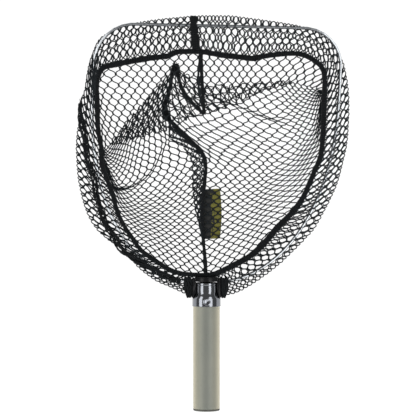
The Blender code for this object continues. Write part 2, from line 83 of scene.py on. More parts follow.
def throughPlaces(places, count):
    return throughPoints([(x, y, 0.0) for x, y in places], count)


def evenly(line, count):
    run = [0.0]
    for a, b in zip(line, line[1:]):
        run.append(run[-1] + (b - a).length)
    out = []
    k = 0
    for step in range(count):
        want = run[-1] * step / (count - 1)
        while k < len(run) - 2 and run[k + 1] < want:
            k += 1
        span = run[k + 1] - run[k]
        out.append(line[k].lerp(line[k + 1], (want - run[k]) / span if span > 0 else 0.0))
    return out


def along(line, share):
    # the place at a share of an evenly spaced line
    where = min(max(share, 0.0), 1.0) * (len(line) - 1)
    k = min(int(where), len(line) - 2)
    return line[k].lerp(line[k + 1], where - k)


def smooth(t):
    t = min(max(t, 0.0), 1.0)
    return t * t * (3 - 2 * t)


def runOf(line):
    return sum((b - a).length for a, b in zip(line, line[1:]))


def nearestShare(line, x, y):
    spots = [(point - Vector((x, y, 0.0))).length for point in line]
    return spots.index(min(spots)) / (len(line) - 1)


def valueAt(pairs, share):
    for (a, low), (b, high) in zip(pairs, pairs[1:]):
        if share <= b:
            return low + (high - low) * (share - a) / (b - a)
    return pairs[-1][1]


def tracedAt(points, share):
    # the place at a share of a line of (share, x, y)
    for (a, ax, ay), (b, bx, by) in zip(points, points[1:]):
        if share <= b:
            t = (share - a) / (b - a)
            return Vector((ax + (bx - ax) * t, ay + (by - ay) * t, 0.0))
    return Vector((points[-1][1], points[-1][2], 0.0))


# outlines shared by the collar, the hem and the bag
hemPoints = [(-10.5, 8.3), (-17.2, 8.4), (-27.0, 9.8), (-35.8, 12.8), (-45.1, 18.6), (-63.3, 31.4),
             (-72.1, 43.2), (-79.6, 54.0), (-86.8, 68.2), (-91.7, 85.3), (-96.6, 99.1),
             (-102.4, 115.8), (-103.7, 135.4), (-105.8, 147.2), (-106.7, 160.0), (-107.4, 179.5),
             (-107.6, 199.1), (-101.5, 210.9), (-89.8, 214.3), (-75.0, 217.3), (-55.4, 220.7),
             (-37.8, 222.7), (-30.9, 226.1), (-21.1, 227.1), (-6.4, 227.1), (6.4, 225.1),
             (18.1, 223.2), (37.8, 221.2), (45.6, 220.2), (54.4, 222.2), (72.1, 224.6), (86.8, 225.1),
             (96.6, 223.2), (106.4, 217.8), (113.3, 210.9), (115.8, 201.1), (115.3, 169.7),
             (113.9, 140.3), (111.7, 123.6), (106.4, 110.9), (100.0, 95.2), (92.7, 80.4), (81.9, 66.7),
             (70.1, 54.9), (59.4, 42.2), (46.6, 29.4), (33.8, 21.1), (21.1, 14.7), (12.5, 9.9),
             (9.0, 8.6)]
edgePoints = [(-21.0, -10.5), (-37.8, -2.9), (-50.5, 2.9), (-66.2, 14.7), (-76.0, 26.5), (-88.8, 37.3),
              (-98.6, 44.1), (-109.4, 54.9), (-116.8, 67.7), (-122.1, 83.9), (-126.1, 103.0),
              (-127.5, 120.7), (-127.7, 137.3), (-126.4, 151.1), (-124.1, 164.8), (-123.1, 178.5),
              (-119.8, 188.4), (-117.5, 202.1), (-114.3, 217.8), (-106.4, 237.4), (-96.6, 245.3),
              (-82.3, 251.8), (-68.2, 255.6), (-49.5, 258.4), (-30.9, 260.3), (-12.3, 262.0),
              (9.3, 262.4), (25.0, 262.1), (39.7, 260.3), (54.4, 258.3), (72.1, 255.6), (91.7, 252.1),
              (106.4, 247.2), (119.2, 238.4), (129.0, 226.6), (134.9, 213.9), (138.8, 193.3),
              (139.8, 171.7), (138.3, 140.3), (134.9, 122.6), (128.6, 98.6), (122.1, 83.4),
              (116.7, 72.6), (105.5, 53.0), (86.8, 32.9), (68.2, 15.7), (46.6, 0.0), (30.9, -8.8),
              (19.5, -11.8)]
hemLine = throughPlaces(hemPoints, 900)
edgeLine = throughPlaces(edgePoints, 900)


# materials
def newMaterial(name, roughness, metallic=0.0):
    material = bpy.data.materials.new(name)
    material.use_nodes = True
    shader = material.node_tree.nodes["Principled BSDF"]
    setInputs(shader, {"Roughness": roughness, "Metallic": metallic})
    return material, material.node_tree.nodes, material.node_tree.links, shader


def setInputs(node, values):
    for label, value in values.items():
        node.inputs[label].default_value = value


def noiseNode(nodes, links, coords, scale, detail=4.0):
    noise = nodes.new("ShaderNodeTexNoise")
    setInputs(noise, {"Scale": scale, "Detail": detail})
    links.new(coords, noise.inputs["Vector"])
    return noise


def rampNode(nodes, links, source, stops):
    ramp = nodes.new("ShaderNodeValToRGB")
    elements = ramp.color_ramp.elements
    while len(elements) < len(stops):
        elements.new(0.5)
    for element, (place, colour) in zip(elements, stops):
        element.position = place
        element.color = (*colour, 1.0)
    links.new(source, ramp.inputs["Fac"])
    return ramp


def colourFrom(nodes, links, source, shader, stops):
    ramp = rampNode(nodes, links, source, stops)
    links.new(ramp.outputs["Color"], shader.inputs["Base Color"])


def bumpNode(nodes, links, source, shader, strength, distance):
    bump = nodes.new("ShaderNodeBump")
    setInputs(bump, {"Strength": strength, "Distance": distance})
    links.new(source, bump.inputs["Height"])
    links.new(bump.outputs["Normal"], shader.inputs["Normal"])


def roughnessFrom(nodes, links, source, shader, low, high):
    spread = nodes.new("ShaderNodeMapRange")
    setInputs(spread, {"To Min": low, "To Max": high})
    links.new(source, spread.inputs["Value"])
    links.new(spread.outputs["Result"], shader.inputs["Roughness"])


def makeYarn(name, dark, light, grain, fuzz):
    # knitted nylon yarn: fine filaments, slight fading and a soft sheen
    material, nodes, links, shader = newMaterial(name, 0.7)
    coords = nodes.new("ShaderNodeTexCoord").outputs["Object"]
    fade = noiseNode(nodes, links, coords, 60.0)
    colourFrom(nodes, links, fade.outputs["Fac"], shader, [(0.3, dark), (0.75, light)])
    filament = noiseNode(nodes, links, coords, grain, 6.0)
    bumpNode(nodes, links, filament.outputs["Fac"], shader, fuzz, 0.0003)
    roughnessFrom(nodes, links, filament.outputs["Fac"], shader, 0.55, 0.9)
    setInputs(shader, {"Sheen Weight": 0.06, "Sheen Roughness": 0.5, "Specular IOR Level": 0.22})
    return material


def makeChrome():
    material, nodes, links, shader = newMaterial("polishedChrome", 0.08, 1.0)
    coords = nodes.new("ShaderNodeTexCoord").outputs["Object"]
    stretch = nodes.new("ShaderNodeMapping")
    stretch.inputs["Scale"].default_value = (1.0, 0.12, 1.0)
    links.new(coords, stretch.inputs["Vector"])
    haze = noiseNode(nodes, links, stretch.outputs["Vector"], 420.0)
    greys = [(0.3, (0.20, 0.21, 0.23)), (0.7, (0.27, 0.28, 0.30))]
    colourFrom(nodes, links, haze.outputs["Fac"], shader, greys)
    scratch = noiseNode(nodes, links, stretch.outputs["Vector"], 2600.0, 8.0)
    roughnessFrom(nodes, links, scratch.outputs["Fac"], shader, 0.04, 0.16)
    bumpNode(nodes, links, scratch.outputs["Fac"], shader, 0.05, 0.0001)
    return material


def makeWireSteel():
    material, nodes, links, shader = newMaterial("platedWire", 0.22, 1.0)
    coords = nodes.new("ShaderNodeTexCoord").outputs["Object"]
    tarnish = noiseNode(nodes, links, coords, 260.0, 6.0)
    greys = [(0.3, (0.36, 0.38, 0.40)), (0.65, (0.52, 0.54, 0.56))]
    colourFrom(nodes, links, tarnish.outputs["Fac"], shader, greys)
    roughnessFrom(nodes, links, tarnish.outputs["Fac"], shader, 0.14, 0.34)
    return material


def makeTubePaint():
    # beige-grey anodised tube with fine drawn lines, small specks and painted shade along its top
    material, nodes, links, shader = newMaterial("anodisedTube", 0.5, 0.3)
    coords = nodes.new("ShaderNodeTexCoord").outputs["Object"]
    cloud = noiseNode(nodes, links, coords, 45.0)
    # painted shade: greyer and darker along the top of the tube than down its sides, as if the top were
    # lit less
    height = nodes.new("ShaderNodeSeparateXYZ")
    links.new(coords, height.inputs["Vector"])
    paintedTopShade = nodes.new("ShaderNodeMapRange")
    setInputs(paintedTopShade, {"From Min": 0.0270, "From Max": 0.0185})
    links.new(height.outputs["Z"], paintedTopShade.inputs["Value"])
    blend = nodes.new("ShaderNodeMath")
    blend.operation = "MULTIPLY_ADD"
    blend.inputs[1].default_value = 0.16
    links.new(cloud.outputs["Fac"], blend.inputs[0])
    links.new(paintedTopShade.outputs["Result"], blend.inputs[2])
    # tube colours from the painted shade along the top to the lit beige of the sides, with a little random
    # tone from the cloud
    shadedBeiges = [(0.06, (0.225, 0.235, 0.205)), (0.35, (0.33, 0.33, 0.27)), (1.0, (0.60, 0.565, 0.43))]
    colour = rampNode(nodes, links, blend.outputs["Value"], shadedBeiges)
    speck = noiseNode(nodes, links, coords, 900.0, 2.0)
    stains = [(0.20, (0.30, 0.29, 0.25)), (0.33, (1.0, 1.0, 1.0))]
    dirt = rampNode(nodes, links, speck.outputs["Fac"], stains)
    mix = nodes.new("ShaderNodeMix")
    mix.data_type = "RGBA"
    mix.blend_type = "MULTIPLY"
    mix.inputs["Factor"].default_value = 0.8
    links.new(colour.outputs["Color"], mix.inputs["A"])
    links.new(dirt.outputs["Color"], mix.inputs["B"])
    links.new(mix.outputs["Result"], shader.inputs["Base Color"])
    stretch = nodes.new("ShaderNodeMapping")
    stretch.inputs["Scale"].default_value = (1.0, 0.03, 1.0)
    links.new(coords, stretch.inputs["Vector"])
    drawn = noiseNode(nodes, links, stretch.outputs["Vector"], 1500.0, 6.0)
    bumpNode(nodes, links, drawn.outputs["Fac"], shader, 0.12, 0.0002)
    roughnessFrom(nodes, links, drawn.outputs["Fac"], shader, 0.46, 0.60)
    return material


def makeMoulded(name, dark, light, low, high):
    material, nodes, links, shader = newMaterial(name, low)
    coords = nodes.new("ShaderNodeTexCoord").outputs["Object"]
    shader.inputs["Specular IOR Level"].default_value = 0.25
    grain = noiseNode(nodes, links, coords, 1200.0, 5.0)
    colourFrom(nodes, links, grain.outputs["Fac"], shader, [(0.3, dark), (0.7, light)])
    bumpNode(nodes, links, grain.outputs["Fac"], shader, 0.15, 0.0002)
    roughnessFrom(nodes, links, grain.outputs["Fac"], shader, low, high)
    return material


def makeTurnedMetal(name, dark, light):
    material, nodes, links, shader = newMaterial(name, 0.3, 1.0)
    coords = nodes.new("ShaderNodeTexCoord").outputs["Object"]
    ridge = nodes.new("ShaderNodeTexWave")
    ridge.bands_direction = "Y"
    # one ridge for each turn of the thread
    setInputs(ridge, {"Scale": 210.0, "Distortion": 0.4})
    links.new(coords, ridge.inputs["Vector"])
    # painted shade: the colour is darker in the thread's grooves and lighter on its crests, from the same
    # ridges as the bump
    colourFrom(nodes, links, ridge.outputs["Fac"], shader, [(0.2, dark), (0.8, light)])
    bumpNode(nodes, links, ridge.outputs["Fac"], shader, 0.6, 0.0004)
    return material


netYarn = makeYarn("netYarn", (0.006, 0.009, 0.011), (0.014, 0.019, 0.022), 2600.0, 0.5)
seamYarn = makeYarn("seamYarn", (0.0025, 0.004, 0.005), (0.006, 0.008, 0.010), 1800.0, 0.8)
chrome = makeChrome()
print("materials made")


# yarn: lines of points become round strands
def strandTree():
    # Geometry Nodes: every line becomes a tube, thicker where its points say so
    tree = bpy.data.node_groups.new("strandTubes", "GeometryNodeTree")
    taken = {"Geometry": "Geometry", "Strand Radius": "Float", "Sides": "Int", "Material": "Material"}
    for label, kind in taken.items():
        tree.interface.new_socket(label, in_out="INPUT", socket_type="NodeSocket" + kind)
    tree.interface.new_socket("Geometry", in_out="OUTPUT", socket_type="NodeSocketGeometry")
    nodes, links = tree.nodes, tree.links
    given = nodes.new("NodeGroupInput")
    result = nodes.new("NodeGroupOutput")
    lines = nodes.new("GeometryNodeMeshToCurve")
    swell = nodes.new("GeometryNodeInputNamedAttribute")
    swell.data_type = "FLOAT"
    swell.inputs["Name"].default_value = "thick"
    ring = nodes.new("GeometryNodeCurvePrimitiveCircle")
    tube = nodes.new("GeometryNodeCurveToMesh")
    shade = nodes.new("GeometryNodeSetShadeSmooth")
    real = nodes.new("GeometryNodeRealizeInstances")
    paint = nodes.new("GeometryNodeSetMaterial")
    tube.inputs["Fill Caps"].default_value = True
    links.new(given.outputs["Geometry"], lines.inputs["Mesh"])
    links.new(given.outputs["Sides"], ring.inputs["Resolution"])
    links.new(given.outputs["Strand Radius"], ring.inputs["Radius"])
    links.new(lines.outputs["Curve"], tube.inputs["Curve"])
    links.new(swell.outputs["Attribute"], tube.inputs["Scale"])
    links.new(ring.outputs["Curve"], tube.inputs["Profile Curve"])
    links.new(tube.outputs["Mesh"], shade.inputs["Geometry"])
    links.new(shade.outputs["Geometry"], real.inputs["Geometry"])
    links.new(real.outputs["Geometry"], paint.inputs["Geometry"])
    links.new(given.outputs["Material"], paint.inputs["Material"])
    links.new(paint.outputs["Geometry"], result.inputs["Geometry"])
    return tree


strandTubes = strandTree()


def socketId(tree, label):
    return next(s.identifier for s in tree.interface.items_tree if s.name == label and s.in_out == "INPUT")


def makeStrands(name, node, lines, radius, sides, material):
    # lines are lists of (point, thickness) in the shared frame; the radius is in millimetres
    verts, edges, thick = [], [], []
    for line in lines:
        start = len(verts)
        for point, swell in line:
            verts.append(point)
            thick.append(swell)
        edges += [(k, k + 1) for k in range(start, len(verts) - 1)]
    mesh = bpy.data.meshes.new(name + "Lines")
    mesh.from_pydata(verts, edges, [])
    mesh.attributes.new("thick", "FLOAT", "POINT").data.foreach_set("value", thick)
    source = addObject(name + "Lines", mesh)
    knit = source.modifiers.new("strandTubes", "NODES")
    knit.node_group = strandTubes
    knit[socketId(strandTubes, "Strand Radius")] = radius / 1000
    knit[socketId(strandTubes, "Sides")] = sides
    knit[socketId(strandTubes, "Material")] = material
    shown = source.evaluated_get(bpy.context.evaluated_depsgraph_get())
    finished = bpy.data.meshes.new_from_object(shown)
    bpy.data.objects.remove(source)
    if not finished.materials:
        finished.materials.append(material)
    for attribute in list(finished.attributes):
        if attribute.name == "thick":
            finished.attributes.remove(attribute)
    piece = addObject(name, finished)
    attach(piece, "head")
    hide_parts(node)
    print(name, len(finished.polygons), "faces")


# knotless netting: neighbouring strands run together at short joints and part round each cell
netting = {
    "cellWidth": 8.0,
    "strandRadius": 0.57,
    "sides": 5,
    "stepsPerRow": 6,
    "jointLength": 1.5,
    "jointSwell": 1.15,
    "closeness": 0.55,
    "fewestPoints": 4,
    "wander": 0.16,
    "wanderUp": 0.4,
}
halfCell = netting["cellWidth"] / 2


def strandSway(row):
    # +1 and -1 at the joints on either side, with a short straight stretch at each
    return max(-1.0, min(1.0, netting["jointLength"] * math.cos(math.pi * row)))


def knitLines(place, strands, rows, seed):
    # place(u, row) is the point at u millimetres across and a number of rows down, or None past an edge
    rng = random.Random(seed)
    reach = halfCell / 2 - netting["strandRadius"] * netting["closeness"]
    lines = []
    for strand in range(*strands):
        middle = (strand + 0.5) * halfCell
        hand = 1 if strand % 2 == 0 else -1
        line = []
        for step in range(int((rows[1] - rows[0]) * netting["stepsPerRow"]) + 1):
            row = rows[0] + step / netting["stepsPerRow"]
            sway = strandSway(row)
            point = place(middle + reach * sway * hand, row)
            if point is None:
                lines.append(line)
                line = []
                continue
            swell = 1.0 + (netting["jointSwell"] - 1.0) * max(0.0, abs(sway) * 2 - 1)
            jitter = Vector([rng.uniform(-1, 1) for k in range(3)]) * netting["wander"] / 1000
            jitter.z *= netting["wanderUp"]
            line.append((point + jitter, swell))
        lines.append(line)
    return [line for line in lines if len(line) >= netting["fewestPoints"]]


def makeNetting(name, node, lines):
    makeStrands(name, node, lines, netting["strandRadius"], netting["sides"], netYarn)


# the collar: netting folded over the wire, with both its edges held in the hem
collar = {
    "halfDepth": 2.3,
    "edgeFlatness": 0.35,
    "rows": 11.0,
    "fullness": 1.13,
    "slants": (0.62, -0.42),
    "slantChange": (0.44, 0.12),
    "slantReach": 40.0,
    "plainEnd": 0.02,
    "spreadPower": 0.85,
    "ripple": 1.6,
    "rippleWaves": (61.0, 5.0, 23.0),
    "rippleAcross": 0.012,
    "rippleUp": 0.25,
}
# a share of the hem, and the share of the outer edge that faces it, corner to corner
collarMatch = [(0.0, 0.0), (0.13, 0.15), (0.37, 0.385), (0.5, 0.497), (0.637, 0.62), (0.87, 0.85),
               (1.0, 1.0)]
hemRun = runOf(hemLine)


def collarPoint(share, turn):
    # turn runs from 0 at the hem, over the top to 0.5 at the outer edge, and back underneath to 1
    inner = along(hemLine, share)
    outer = along(edgeLine, valueAt(collarMatch, share))
    across = 1 - abs(turn * 2 - 1)
    bow = math.sin(math.pi * across)
    flatness = collar["edgeFlatness"]
    z = hoopZ + collar["halfDepth"] * math.cos(math.pi * turn) * (flatness + (1 - flatness) * bow)
    longWave, turnWave, beat = collar["rippleWaves"]
    ripple = collar["ripple"] * math.sin(share * longWave + turn * turnWave) * math.sin(share * beat + 1.0)
    spread = across ** collar["spreadPower"] + ripple * collar["rippleAcross"] * bow
    flat = inner.lerp(outer, spread)
    return at(flat.x, flat.y, z + ripple * collar["rippleUp"])


def makeCollar():
    strands = int(hemRun * collar["fullness"] / halfCell)
    leftSlant, rightSlant = collar["slants"]
    changeStart, changeRun = collar["slantChange"]
    plain = collar["plainEnd"]

    def place(u, row):
        share = u / (strands * halfCell)
        turn = row / collar["rows"]
        side = smooth((share - changeStart) / changeRun)
        slant = leftSlant * (1 - side) + rightSlant * side
        fade = math.sin(math.pi * min(max((share - plain) / (1 - 2 * plain), 0.0), 1.0)) ** 0.5
        share += slant * fade * (turn - 0.5) * collar["slantReach"] / hemRun
        if not 0.0 <= share <= 1.0:
            return None
        return collarPoint(share, turn)

    middle = strands // 2
    rows = (0.0, collar["rows"])
    makeNetting("collarNetLeft", "net_sleeve_left", knitLines(place, (0, middle), rows, 11))
    makeNetting("collarNetRight", "net_sleeve_right", knitLines(place, (middle, strands), rows, 12))


# the bag: netting hung from the hem, folded back on itself near the top; side is -1 on the left and
# 1 on the right
bag = {
    "widths": {-1: 148.0, 1: 128.0},
    "columns": 48,
    "topPitch": 5.45,
    "bodyPitch": 4.2,
    "topLevel": 227.0,
    "bodyLevel": 215.0,
    "topSpacing": 0.5,
    "footSpacing": 0.65,
    "sideCrowd": 0.07,
    "crowdStart": 0.4,
    "floor": 1.5,
    "unevenness": 0.5,
    "topDrop": 1.5,
    "footDrop": 2.0,
    "footClimb": 0.16,
    "dropRate": 1.6,
    "settleRun": 0.6,
    "footTilt": {-1: 7.0, 1: 5.0},
    "tiltReach": 45.0,
    "tiltMost": 1.3,
    "tiltStart": 0.55,
    "seamGrip": 1.8,
}
fold = {
    "fullDepth": 12.0,
    "leastDepth": 0.05,
    "rowBlend": 1.4,
    "topHeight": 5.6,
    "lowBendHeight": 4.6,
    "middleHeights": (3.6, 2.6),
    "highBendHeight": 1.6,
    "bendReach": 0.5,
    "bendRows": 0.05,
    "bow": Vector((-5.525, -3.445, 0.0)),
    "bowGrip": 3,
}
pleat = {
    "width": 15.0,
    "share": 0.10,
    "topShare": 0.35,
    "opens": (0.22, 0.16),
    "closes": (0.5, 0.42),
    "lift": 1.3,
}
bunch = {
    "width": 8.5,
    "pull": 0.80,
    "lift": 1.1,
}
layerPoints = {"top": 24, "middle": 18, "body": 64}

# the seam below the upper fold, down to the ferrule
seamRun = [(-30.2, 215.0), (-34.0, 205.0), (-36.0, 192.0), (-38.5, 182.0), (-41.0, 168.5),
           (-31.0, 155.0), (-20.0, 143.5), (-9.0, 133.5), (-1.8, 123.0), (-0.8, 109.0), (-2.6, 92.0),
           (-4.3, 75.0), (-3.8, 52.0), (-1.7, 26.0), (-0.6, 9.6)]
# fold lines from the seam outwards: share of the half panel, x, y
lowFolds = {
    -1: [(0.0, -2.5, 167.0), (0.22, -36.0, 150.0), (0.55, -68.0, 142.0), (0.86, -97.0, 134.0),
         (1.0, -103.5, 132.5)],
    1: [(0.0, -2.5, 167.0), (0.20, 25.0, 172.7), (0.33, 37.0, 180.0), (0.62, 72.0, 193.0),
        (0.78, 88.0, 197.0), (1.0, 113.0, 190.0)],
}
highFolds = {
    -1: [(0.0, -30.2, 215.0), (0.22, -46.0, 196.0), (0.55, -74.0, 165.0), (0.86, -97.0, 134.4),
         (1.0, -103.5, 133.0)],
    1: [(0.0, -30.2, 215.0), (0.07, -14.0, 203.0), (0.14, 0.0, 195.5), (0.36, 43.7, 197.0),
        (0.62, 76.0, 199.5), (0.78, 89.0, 197.6), (1.0, 113.0, 190.6)],
}
# the row of cells that each column has at the level of the upper fold, and the one it settles to below
foldRows = {
    -1: [(0.0, 15.0), (0.2, 12.5), (0.55, 6.0), (0.8, -1.0), (1.0, -2.2)],
    1: [(0.0, 15.0), (0.07, 11.5), (0.14, 9.0), (0.2, 7.7), (0.36, 5.6), (0.62, 3.5), (0.78, 2.0),
        (1.0, 1.0)],
}
hangRows = {
    -1: [(0.0, 12.5), (1.0, 3.0)],
    1: [(0.0, 7.0), (0.5, 5.5), (0.8, 6.5), (1.0, 8.5)],
}
# creases where the bag's lower layer is pulled together
creases = {
    -1: throughPlaces([(-96.0, 92.5), (-78.0, 93.5), (-63.3, 101.0), (-53.5, 111.0), (-44.6, 127.5),
                       (-38.7, 140.3)], 60),
    1: throughPlaces([(20.0, 178.0), (37.0, 171.5), (53.5, 164.8), (69.0, 159.5)], 40),
}
seamLine = throughPlaces(seamRun, 200)
hemTopShare = nearestShare(hemLine, -5.5, 227.0)
sideShares = {-1: nearestShare(hemLine, -103.9, 134.0), 1: nearestShare(hemLine, 115.8, 188.0)}


def hemStretch(start, end):
    return [along(hemLine, start + (end - start) * k / 80) for k in range(81)]


# the hem from the seam's lower end to each side, and from its top to each side
footLines = {side: evenly([seamLine[-1]] + hemStretch(0.0 if side < 0 else 1.0, sideShares[side]), 300)
             for side in (-1, 1)}
topLines = {side: evenly(hemStretch(hemTopShare, sideShares[side]), 300) for side in (-1, 1)}


def spacedAcross(line, share, blend):
    # columns hang nearly straight, so their ends are spaced by how far across they are, less so near
    # the side
    blend *= 1 - share ** 3
    across = share * abs(line[-1].x - line[0].x)
    level = next((k for k, point in enumerate(line) if abs(point.x - line[0].x) >= across), len(line) - 1)
    return along(line, blend * level / (len(line) - 1) + (1 - blend) * share)


def bunched(point, crease):
    # draws netting towards a crease line, and lifts it a little there
    nearest = min(crease, key=lambda spot: (spot - point).length_squared)
    away = (nearest - point).length
    pull = bunch["pull"] * math.exp(-(away / bunch["width"]) ** 2)
    return point.lerp(nearest, pull), bunch["lift"] * pull


def topLayer(top, low, depth, shift, out):
    # from the hem down to the lower fold
    layer = []
    hung = hoopZ - bag["topDrop"]
    for k in range(layerPoints["top"]):
        t = k / (layerPoints["top"] - 1)
        spot = top.lerp(low, t)
        row = (bag["topLevel"] - spot.y) / bag["topPitch"] + shift
        spot.x -= out * pleat["topShare"] * math.sin(math.pi * t)
        height = hung + (bag["floor"] + fold["topHeight"] * depth - hung) * smooth(t * bag["dropRate"])
        layer.append((spot, height, row))
    return layer


def middleLayer(low, high, depth, lowRow, highRow, grip):
    # back up from the lower fold to the upper one
    bend = (low - high).normalized() * fold["bendReach"] * depth
    start, end = fold["middleHeights"]
    layer = [(low + bend, bag["floor"] + fold["lowBendHeight"] * depth, lowRow + fold["bendRows"])]
    for k in range(1, layerPoints["middle"]):
        t = k / layerPoints["middle"]
        spot = low.lerp(high, t) + fold["bow"] * math.sin(math.pi * t) * grip
        height = bag["floor"] + (start + (end - start) * t) * depth
        layer.append((spot, height, lowRow * (1 - t) + highRow * t))
    layer.append((high - bend, bag["floor"] + fold["highBendHeight"] * depth, highRow + fold["bendRows"]))
    return layer


def bodyLayer(side, share, high, foot, highRow, settle, grip, out):
    # from the upper fold down to the hem, lying on the ground and climbing at the end
    layer = []
    opens, openRun = pleat["opens"]
    closes, closeRun = pleat["closes"]
    for k in range(1, layerPoints["body"]):
        t = k / (layerPoints["body"] - 1)
        plain = seamLine[0].lerp(seamLine[-1], t)
        spot = high.lerp(foot, t) + (along(seamLine, t) - plain) * grip
        row = highRow + (high.y - spot.y) / bag["bodyPitch"] + settle * smooth(t / bag["settleRun"])
        # the rows turn up towards the hem near the ferrule
        tilt = bag["footTilt"][side] * min(bag["tiltMost"], abs(spot.x) / bag["tiltReach"])
        row += tilt * smooth((t - bag["tiltStart"]) / (1 - bag["tiltStart"]))
        spot.x -= out * smooth((t - opens) / openRun) * (1 - smooth((t - closes) / closeRun))
        spot, lift = bunched(spot, creases[side])
        climb = smooth((t - 1 + bag["footClimb"]) / bag["footClimb"])
        if out > 0:
            lift += pleat["lift"] * (1 - climb)
        height = bag["floor"] + bag["unevenness"] * math.sin(share * 19 + t * 7) ** 2 + lift
        layer.append((spot, height + (hoopZ - bag["footDrop"] - height) * climb, row))
    return layer


def foldedColumn(side, share):
    # one line of netting from the top of the hem, down, back up and down to the foot, as places with
    # their heights and rows of cells
    crowd = max(0.0, (share - bag["crowdStart"]) / (1 - bag["crowdStart"]))
    body = share + bag["sideCrowd"] * math.sin(math.pi * crowd)
    out = 0.0
    if side < 0:
        # a pleat beside the seam takes the first columns out and back again
        body = max(0.0, (share - 2 * pleat["share"]) / (1 - 2 * pleat["share"]))
        out = pleat["width"] * max(0.0, 1 - abs(share / pleat["share"] - 1))
    low, high = tracedAt(lowFolds[side], body), tracedAt(highFolds[side], body)
    top = spacedAcross(topLines[side], body, bag["topSpacing"])
    foot = spacedAcross(footLines[side], body, bag["footSpacing"])
    depth = min(1.0, (high - low).length / fold["fullDepth"])
    lowRow = (bag["topLevel"] - low.y) / bag["topPitch"]
    foldRow = valueAt(foldRows[side], body)
    highRow = foldRow + (bag["bodyLevel"] - high.y) / bag["bodyPitch"]
    shift = (highRow - lowRow) * smooth(1 - depth * fold["rowBlend"])
    column = topLayer(top, low, depth, shift, out)
    if depth > fold["leastDepth"]:
        column += middleLayer(low, high, depth, lowRow + shift, highRow, (1 - body) ** fold["bowGrip"])
    settle = valueAt(hangRows[side], body) - foldRow
    column += bodyLayer(side, share, high, foot, highRow, settle, (1 - body) ** bag["seamGrip"], out)
    return column


def columnRows(column):
    # the row of cells at each point of a column, always going on
    rows = [column[0][2]]
    for spot, height, row in column[1:]:
        rows.append(max(row, rows[-1] + 0.01))
    return rows


def pointAtRow(column, rows, row):
    low, high = 0, len(rows) - 1
    while high - low > 1:
        middle = (low + high) // 2
        if rows[middle] <= row:
            low = middle
        else:
            high = middle
    t = min(max((row - rows[low]) / (rows[high] - rows[low]), 0.0), 1.0)
    a, b = column[low], column[high]
    flat = a[0].lerp(b[0], t)
    return Vector((flat.x, flat.y, a[1] + (b[1] - a[1]) * t))


def makeBag(side, name, node, seed):
    count = bag["columns"]
    width = bag["widths"][side]
    columns = [foldedColumn(side, k / count) for k in range(count + 1)]
    rowLists = [columnRows(column) for column in columns]
    firsts = [rows[0] for rows in rowLists]
    lasts = [rows[-1] for rows in rowLists]
    step = 1 / netting["stepsPerRow"]

    def place(u, row):
        spot = min(abs(u) / width, 1.0) * count
        k = min(int(spot), count - 1)
        part = spot - k
        begins = firsts[k] * (1 - part) + firsts[k + 1] * part
        ends = lasts[k] * (1 - part) + lasts[k + 1] * part
        if not begins - step < row < ends + step:
            return None
        a = pointAtRow(columns[k], rowLists[k], row)
        b = pointAtRow(columns[k + 1], rowLists[k + 1], row)
        flat = a.lerp(b, part)
        return at(flat.x, flat.y, flat.z)

    strands = int(width / halfCell)
    span = (-strands, 0) if side < 0 else (0, strands)
    makeNetting(name, node, knitLines(place, span, (math.floor(min(firsts)), max(lasts)), seed))


makeCollar()
makeBag(-1, "bagNetLeft", "net_bag_left", 21)
makeBag(1, "bagNetRight", "net_bag_right", 22)
print("netting made")


# seams: overlocked bands, a core of yarns wrapped by a slanting thread
overlock = {
    "thread": 0.42,
    "sides": 5,
    "coreYarns": 5,
    "coreStep": 2.2,
    "coreWidth": 0.68,
    "coreDepth": 0.78,
    "coreWobble": (0.12, 0.1),
    "turnPoints": 9,
    "fray": (0.077, 0.12),
    "pulse": 0.10,
    "thickness": (0.8, 1.25),
}


def bandLines(path, shape, seed, widths=None):
    # path is evenly spaced, in millimetres, and widths scales the band along it
    rng = random.Random(seed)
    halfWidth, halfDepth = shape["halfWidth"], shape["halfDepth"]
    run = runOf(path)
    widths = widths or (lambda share: 1.0)

    def offset(share, a, b):
        ahead = (along(path, share + 0.004) - along(path, share - 0.004)).normalized()
        side = ahead.cross(Vector((0, 0, 1)))
        side = side.normalized() if side.length > 0.05 else Vector((1, 0, 0))
        spot = along(path, share) + side * a + side.cross(ahead).normalized() * b
        return at(spot.x, spot.y, spot.z)

    lines = []
    coreSteps = max(12, int(run / overlock["coreStep"]))
    swell = halfDepth * overlock["coreDepth"] / overlock["thread"]
    wobble, wobbleUp = overlock["coreWobble"]
    fray, frayUp = overlock["fray"]
    for yarn in range(overlock["coreYarns"]):
        lane = (yarn + 0.5) / overlock["coreYarns"] * 2 - 1
        phase = rng.uniform(0, 6.28)
        line = []
        for step in range(coreSteps + 1):
            share = step / coreSteps
            wide = widths(share)
            a = lane * halfWidth * overlock["coreWidth"] * wide
            a += wobble * math.sin(share * run * 0.7 + phase)
            b = wobbleUp * math.sin(share * run * 0.9 + phase)
            line.append((offset(share, a, b), swell * (0.75 + 0.25 * wide)))
        lines.append(line)
    steps = int(run / shape["pitch"]) * overlock["turnPoints"]
    line = []
    for step in range(steps + 1):
        share = step / steps
        angle = 2 * math.pi * step / overlock["turnPoints"]
        pulse = overlock["pulse"] * math.sin(share * run * 0.55)
        wide = widths(share) * (1 + pulse + rng.uniform(-1, 1) * fray)
        a = math.cos(angle) * halfWidth * wide
        b = math.sin(angle) * halfDepth * (1 + rng.uniform(-1, 1) * frayUp)
        line.append((offset(share, a, b), rng.uniform(*overlock["thickness"])))
    lines.append(line)
    return lines


def makeBand(name, node, lines):
    makeStrands(name, node, lines, overlock["thread"], overlock["sides"], seamYarn)


# swells: where the hem's width changes, over what share of it, and by how much
hem = {
    "halfWidth": 2.45,
    "halfDepth": 1.8,
    "pitch": 1.05,
    "width": 0.72,
    "swells": [(0.26, 0.04, 0.30), (0.5, 0.1, -0.14), (0.78, 0.1, 0.22)],
    "waves": [(37, 0.06), (173, 0.05)],
}


